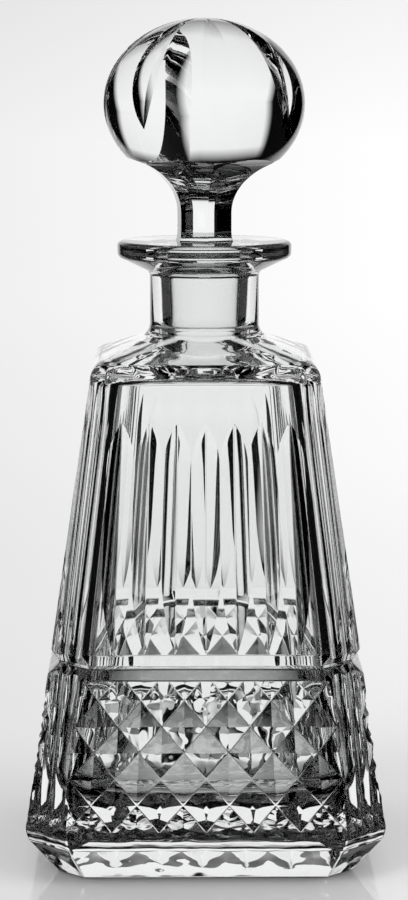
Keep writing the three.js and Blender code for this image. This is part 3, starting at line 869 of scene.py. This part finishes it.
class Graph:
    """Node tree that is wired by plain calls."""

    def __init__(self, tree: bpy.types.NodeTree) -> None:
        """Empties the tree and takes it over."""
        tree.nodes.clear()
        self.tree = tree

    def raw(self, kind: str, settings: dict[str, object],
            values: dict[object, object]) -> bpy.types.Node:
        """Adds a node, sets its properties and gives its inputs a value or a link."""
        node = self.tree.nodes.new(kind)
        for name, value in settings.items():
            setattr(node, name, value)
        for key, value in values.items():
            if isinstance(value, Socket):
                self.tree.links.new(value.socket, node.inputs[key])
            else:
                node.inputs[key].default_value = value
        return node

    def node(self, kind: str, settings: dict[str, object], values: object,
             output: object = 0) -> Socket:
        """Adds a node and gives one of its outputs.

        Args:
            kind: Blender's type of node.
            settings: Properties, set first.
            values: Inputs by name, or a list in their order.
            output: Name or number of the output.
        """
        given = dict(enumerate(values)) if isinstance(values, list) else values
        return Socket(self, self.raw(kind, settings, given).outputs[output])

    def split(self, vector: Socket) -> list[Socket]:
        """X, Y and Z of a vector."""
        parts = self.raw("ShaderNodeSeparateXYZ", {}, {0: vector}).outputs
        return [Socket(self, part) for part in parts]

    def ramp(self, stops: Stops, value: Socket) -> Socket:
        """Grey that follows a value from stop to stop, each a place and a grey."""
        node = self.raw("ShaderNodeValToRGB", {}, {0: value})
        elements = node.color_ramp.elements
        while len(elements) < len(stops):
            elements.new(1.0)
        for element, (place, grey) in zip(elements, stops):
            element.position = place
            element.color = (grey, grey, grey, 1.0)
        return Socket(self, node.outputs[0])

    def noise(self, place: Socket, scale: float, detail: float, roughness: float) -> Socket:
        """Soft random value at a place."""
        return self.node("ShaderNodeTexNoise", {}, {
            "Vector": place, "Scale": scale, "Detail": detail, "Roughness": roughness}, "Fac")

    def product(self, one: object, other: object) -> Socket:
        """Product of two colours."""
        return self._mix_colours("MULTIPLY", 1.0, one, other)

    def blend(self, share: object, one: object, other: object) -> Socket:
        """Colour part of the way from one to another."""
        return self._mix_colours("MIX", share, one, other)

    def _mix_colours(self, kind: str, share: object, one: object, other: object) -> Socket:
        """Mix node of two colours, whose result is its third output."""
        return self.node("ShaderNodeMix", {"data_type": "RGBA", "blend_type": kind}, {
            "Factor": share, "A": one, "B": other}, 2)

    def glow(self, colour: Socket) -> Socket:
        """Surface that gives off light."""
        return self.node("ShaderNodeEmission", {}, {"Color": colour})

    def layer(self, share: Socket, one: Socket, other: Socket) -> Socket:
        """Surface part of the way from one to another."""
        return self.node("ShaderNodeMixShader", {}, [share, one, other])


@dataclass(frozen=True)
class CrystalFinish:
    """Clear polished lead crystal with faint cords in the glass and wear on the foot."""

    tint: Colour = (0.985, 0.99, 0.99, 1.0)
    dust: Colour = (0.95, 0.96, 0.96, 1.0)
    ior: float = 1.545
    wear: float = 0.10
    wear_height: float = 12.0 * MM
    dust_share: float = 0.8
    scratch_scale: float = 900.0
    cord_scale: float = 22.0
    cord_stretch: tuple[float, float, float] = (1.0, 1.0, 0.35)
    cord_height: float = 0.03 * MM
    ripple_scale: float = 120.0
    ripple_share: float = 13.0
    ripple_top: float = 200.0 * MM
    ripple_stops: Stops = ((0.0, 1.0), (0.30, 1.0), (0.345, 0.02), (0.77, 0.02), (0.80, 0.6),
                           (0.83, 0.6), (0.87, 0.0))

    def make(self, name: str) -> bpy.types.Material:
        """Builds the material under a name."""
        material = bpy.data.materials.new(name)
        material.use_nodes = True
        graph = Graph(material.node_tree)
        place = graph.node("ShaderNodeTexCoord", {}, {}, "Object")
        height = graph.split(place)[2]
        drawn = graph.node("ShaderNodeMapping", {}, {"Vector": place, "Scale": self.cord_stretch})
        cords = graph.noise(drawn, self.cord_scale, detail=2.0, roughness=0.45)
        waves = graph.noise(place, self.ripple_scale, detail=1.0, roughness=0.4)
        where = graph.ramp(self.ripple_stops, height / self.ripple_top)
        scratches = graph.noise(place, self.scratch_scale, detail=3.0, roughness=0.6)
        near_foot = (1.0 - height / self.wear_height).clamp()
        rubbed = near_foot * scratches
        colour = graph.blend((rubbed * self.dust_share).clamp(), self.tint, self.dust)
        bump = graph.node("ShaderNodeBump", {}, {
            "Strength": 1.0, "Distance": self.cord_height,
            "Height": cords + waves * where * self.ripple_share})
        shader = graph.node("ShaderNodeBsdfPrincipled", {}, {
            "Base Color": colour,
            "Roughness": rubbed * self.wear,
            "IOR": self.ior,
            "Transmission Weight": 1.0,
            "Normal": bump,
        })
        graph.raw("ShaderNodeOutputMaterial", {}, {"Surface": shader})
        return material


@dataclass
class Studio:
    """Pale glossy table in a dark room, with one bright screen behind the decanter."""

    camera_distance: float = 923.4 * MM
    camera_side: float = -10.27 * MM
    camera_height: float = 259.95 * MM
    camera_pitch: float = 0.143
    camera_yaw: float = -0.011
    lens: float = 117.38
    floor_size: float = 12.0
    floor_drop: float = 0.02 * MM
    floor_grey: Colour = (0.86, 0.86, 0.86, 1.0)
    floor_roughness: float = 0.03
    grain_scale: float = 60.0
    # Distances from the axis at which the camera sees the table top change into plain light
    fade_start: float = 0.12
    fade_length: float = 0.6
    distance_stops: Stops = ((0.0, 0.8), (0.18, 0.91), (0.4, 0.96), (0.86, 1.0))
    distance_reach: float = 2.2
    # Painted light that the glass sees on the table: a grey painted glow under the base that fades
    # to dark outward, and a bright painted lane of light on the table behind the base, dim in front
    painted_glow_radius: float = 0.06
    painted_glow_stops: Stops = ((0.0, 0.6), (0.5, 0.36), (0.9, 0.0))
    lane_stops: Stops = ((0.0, 1.0), (0.7, 1.0), (0.85, 0.0))
    lane_start: float = 0.05
    lane_fade: float = 0.3
    lane_half_width: float = 0.11
    lane_spread: float = 0.7
    half_length: float = 0.1
    front_share: float = 0.06
    # Light across the picture, as the camera sees the table and the backdrop
    left_share: float = 0.87
    side_reach: float = 0.07
    backdrop_stops: Stops = ((0.0, 1.0), (1.0, 0.9))
    backdrop_low: float = 0.8
    backdrop_reach: float = 0.05
    # The screen, by its share of half a turn from straight behind and by its rise
    panel_stops: Stops = ((0.0, 1.0), (0.148, 0.97), (0.174, 0.0), (0.835, 0.0))
    panel_front: float = 0.86
    rise_stops: Stops = ((0.0, 1.0), (0.34, 0.95), (0.46, 0.0))
    room_grey: Colour = (0.7, 0.7, 0.7, 1.0)
    lamp_size: float = 2.4
    lamp_aim: Vector = field(default_factory=lambda: UP * 0.12)

    def camera(self) -> None:
        """Camera where the photograph was taken from."""
        data = bpy.data.cameras.new("camera")
        data.lens = self.lens
        data.sensor_width = 36.0
        data.clip_start = 0.05
        data.clip_end = 50.0
        obj = bpy.data.objects.new("camera", data)
        bpy.context.scene.collection.objects.link(obj)
        obj.location = (self.camera_side, -self.camera_distance, self.camera_height)
        obj.rotation_euler = (math.pi / 2.0 - self.camera_pitch, 0.0, self.camera_yaw)
        bpy.context.scene.camera = obj

    def floor(self) -> None:
        """Table top, glossy for the camera and plain light for what the glass shows."""
        table = Workpiece.add("table", bpy.ops.mesh.primitive_plane_add, size=self.floor_size,
                              location=(0.0, 0.0, -self.floor_drop))
        material = bpy.data.materials.new("table")
        material.use_nodes = True
        graph = Graph(material.node_tree)
        place = graph.node("ShaderNodeTexCoord", {}, {}, "Object")
        across, away, _ = graph.split(place)
        far = abs(away)
        side = self._side_light(graph, across / (far + self.camera_distance))
        light = graph.ramp(self.distance_stops, far / self.distance_reach)
        grain = graph.noise(place, self.grain_scale, detail=3.0, roughness=0.5)
        top = graph.node("ShaderNodeBsdfPrincipled", {}, {
            "Base Color": graph.product(side, self.floor_grey),
            "Roughness": grain * self.floor_roughness + self.floor_roughness, "IOR": 1.5})
        shown = graph.layer(((far - self.fade_start) / self.fade_length).clamp(),
                            top, graph.glow(graph.product(light, side)))
        # Painted glow under the base: for the glass the table gives off grey light here, fading to
        # dark outward, in place of real light and shade
        radius = (across * across + away * away).root()
        painted_glow_under_base = graph.ramp(self.painted_glow_stops, radius / self.painted_glow_radius)
        # Painted pool of light: a bright lane of table behind the base, dim in front, glows for the
        # glass in place of real light on the table
        strip = graph.ramp(self.lane_stops,
                           abs(across) / (far * self.lane_spread + self.lane_half_width))
        half = graph.ramp(((0.0, self.front_share), (1.0, 1.0)), away / self.half_length + 0.5)
        painted_light_lane = graph.product(graph.product(light, half), strip)
        through = graph.layer(((far - self.lane_start) / self.lane_fade).clamp(),
                              graph.glow(painted_glow_under_base), graph.glow(painted_light_lane))
        camera_ray = graph.node("ShaderNodeLightPath", {}, {}, "Is Camera Ray")
        mixed = graph.layer(camera_ray, through, shown)
        graph.raw("ShaderNodeOutputMaterial", {}, {"Surface": mixed})
        table.obj.data.materials.append(material)

    def _side_light(self, graph: Graph, side: Socket) -> Socket:
        """Share of light at a place across the picture, which is brighter on the right."""
        span = side / (2.0 * self.side_reach) + 0.5
        return graph.ramp(((0.0, self.left_share), (1.0, 1.0)), span)

    def world(self) -> None:
        """Bright screen behind the table for what the glass shows, pale grey for the camera."""
        world = bpy.data.worlds.new("studio")
        bpy.context.scene.world = world
        world.use_nodes = True
        graph = Graph(world.node_tree)
        way = graph.node("ShaderNodeTexCoord", {}, {}, "Generated")
        x, y, z = graph.split(way)
        angle = graph.node("ShaderNodeMath", {"operation": "ARCTAN2"}, [x, y])
        front = ((self.panel_front, self.front_share), (1.0, self.front_share))
        panel = graph.ramp((*self.panel_stops, *front), abs(angle) / math.pi)
        seen = graph.product(panel, graph.ramp(self.rise_stops, z))
        camera_ray, diffuse_ray = (graph.node("ShaderNodeLightPath", {}, {}, name)
                                   for name in ("Is Camera Ray", "Is Diffuse Ray"))
        plain = graph.blend(diffuse_ray, seen, self.room_grey)
        height = z / self.backdrop_reach + self.backdrop_low
        backdrop = graph.product(graph.ramp(self.backdrop_stops, height),
                                 self._side_light(graph, x / abs(y)))
        shown = graph.blend(camera_ray, plain, backdrop)
        background = graph.node("ShaderNodeBackground", {}, {"Color": shown, "Strength": 1.0})
        graph.raw("ShaderNodeOutputWorld", {}, {"Surface": background})

    def lamps(self) -> None:
        """Two soft boxes, above left and above right, that the glass doesn't mirror."""
        for name, place, power in (
            ("key", Vector((-2.7, -2.7, 3.9)), 72.0),
            ("fill", Vector((3.0, -1.5, 3.3)), 45.0),
        ):
            data = bpy.data.lights.new(name, "AREA")
            data.shape = "SQUARE"
            data.size = self.lamp_size
            data.energy = power
            obj = bpy.data.objects.new(name, data)
            bpy.context.scene.collection.objects.link(obj)
            obj.visible_glossy = False
            obj.visible_transmission = False
            obj.location = place
            aim = self.lamp_aim - place
            obj.rotation_euler = aim.to_track_quat("-Z", "Y").to_euler()

    def make(self) -> None:
        """Sets up the studio and how light is followed through thick glass."""
        self.camera()
        self.floor()
        self.world()
        self.lamps()
        scene = bpy.context.scene
        scene.view_settings.view_transform = "Standard"
        scene.cycles.max_bounces = 32
        scene.cycles.transmission_bounces = 32
        scene.cycles.glossy_bounces = 16


def main() -> None:
    """Builds the decanter, its stopper and the studio."""
    logging.basicConfig(level=logging.INFO, format="%(name)s: %(message)s")
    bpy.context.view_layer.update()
    Studio().make()
    finish = CrystalFinish()
    body = DecanterBody()
    body.make(finish.make("body_crystal"))
    Stopper(seat=body).make(finish.make("stopper_crystal"))


if __name__ == "__main__":
    main()
